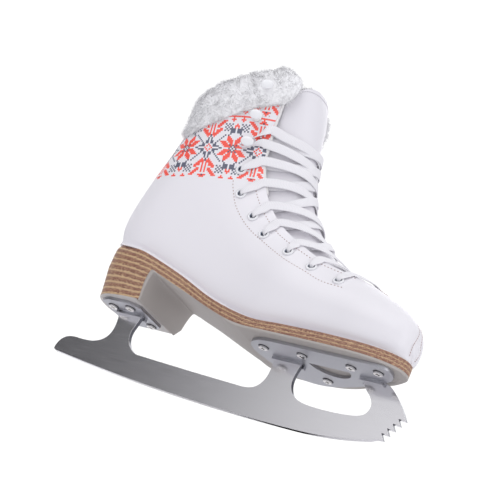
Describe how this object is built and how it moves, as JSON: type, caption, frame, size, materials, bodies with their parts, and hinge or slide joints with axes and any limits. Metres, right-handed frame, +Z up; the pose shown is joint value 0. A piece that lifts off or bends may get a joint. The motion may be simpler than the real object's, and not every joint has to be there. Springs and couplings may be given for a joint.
{
  "type": "figure skate",
  "caption": "Lace-up boot with a plush cuff and patterned ankle on a stacked sole and heel, carrying a screwed-on toothed steel blade for skating on ice.",
  "frame": {"origin": "the point where the blade's main rocker touches the ice, in the blade's middle plane", "axes": "+X towards the toe along the blade, +Z up towards the shaft, -Y towards the inner side of the left foot"},
  "size_m": [0.3058, 0.095, 0.2721],
  "materials": {
    "blade_steel": "brushed, satin",
    "plate_steel": "plated, satin",
    "screw_steel": "bright plated",
    "shank_steel": "plain",
    "sole_taupe": "matt",
    "top_piece": "matt",
    "stack_brown": "satin lacquer",
    "stack_cream": "satin lacquer",
    "board": "pressed fibre board, matt",
    "footbed_fabric": "brushed fabric",
    "stiffener": "matt",
    "upper_white": "smooth, semi-gloss, with a knitted-pattern print round the ankle",
    "facing_white": "matt",
    "tongue_leather": "smooth, satin",
    "eyelet_white": "gloss enamel",
    "hook_white": "gloss enamel",
    "plush_lining": "short pile",
    "fur": "deep pile",
    "lace_fabric": "flat woven",
    "aglet": "clear-coated"
  },
  "bodies": {
    "boot": {"blade": "blade_steel", "toe_plate": "plate_steel", "heel_plate": "plate_steel", "toe_plate_screws": "screw_steel", "heel_plate_screws": "screw_steel", "outsole": "sole_taupe", "heel_top_piece": "top_piece", "heel_lift_1": "stack_brown", "heel_lift_2": "stack_brown", "heel_lift_3": "stack_brown", "heel_lift_4": "stack_brown", "heel_wedge": "stack_cream", "midsole_lower": "stack_brown", "midsole_upper": "stack_brown", "shank": "shank_steel", "insole_board": "board", "footbed": "footbed_fabric", "heel_counter": "stiffener", "toe_puff": "stiffener", "inner_quarter": "upper_white", "outer_quarter": "upper_white", "backstay": "upper_white", "inner_facing": "facing_white", "outer_facing": "facing_white", "inner_eyelets": "eyelet_white", "outer_eyelets": "eyelet_white", "inner_hooks": "hook_white", "outer_hooks": "hook_white", "inner_lining": "plush_lining", "outer_lining": "plush_lining", "fur_collar": "fur", "tongue": "tongue_leather", "tongue_padding": "plush_lining", "lace": "lace_fabric", "lace_tips": "aglet"},
    "tongue_top": {"tongue_top": "tongue_leather", "tongue_top_padding": "plush_lining"}
  },
  "joints": [
    {"name": "tongue_fold", "type": "hinge", "parent": "boot", "child": "tongue_top", "pos_m": [-0.068, 0, 0.23], "axis": [0, 1, 0], "range_deg": [-8, 40], "stiffness_Nm_per_rad": 0.15}
  ]
}
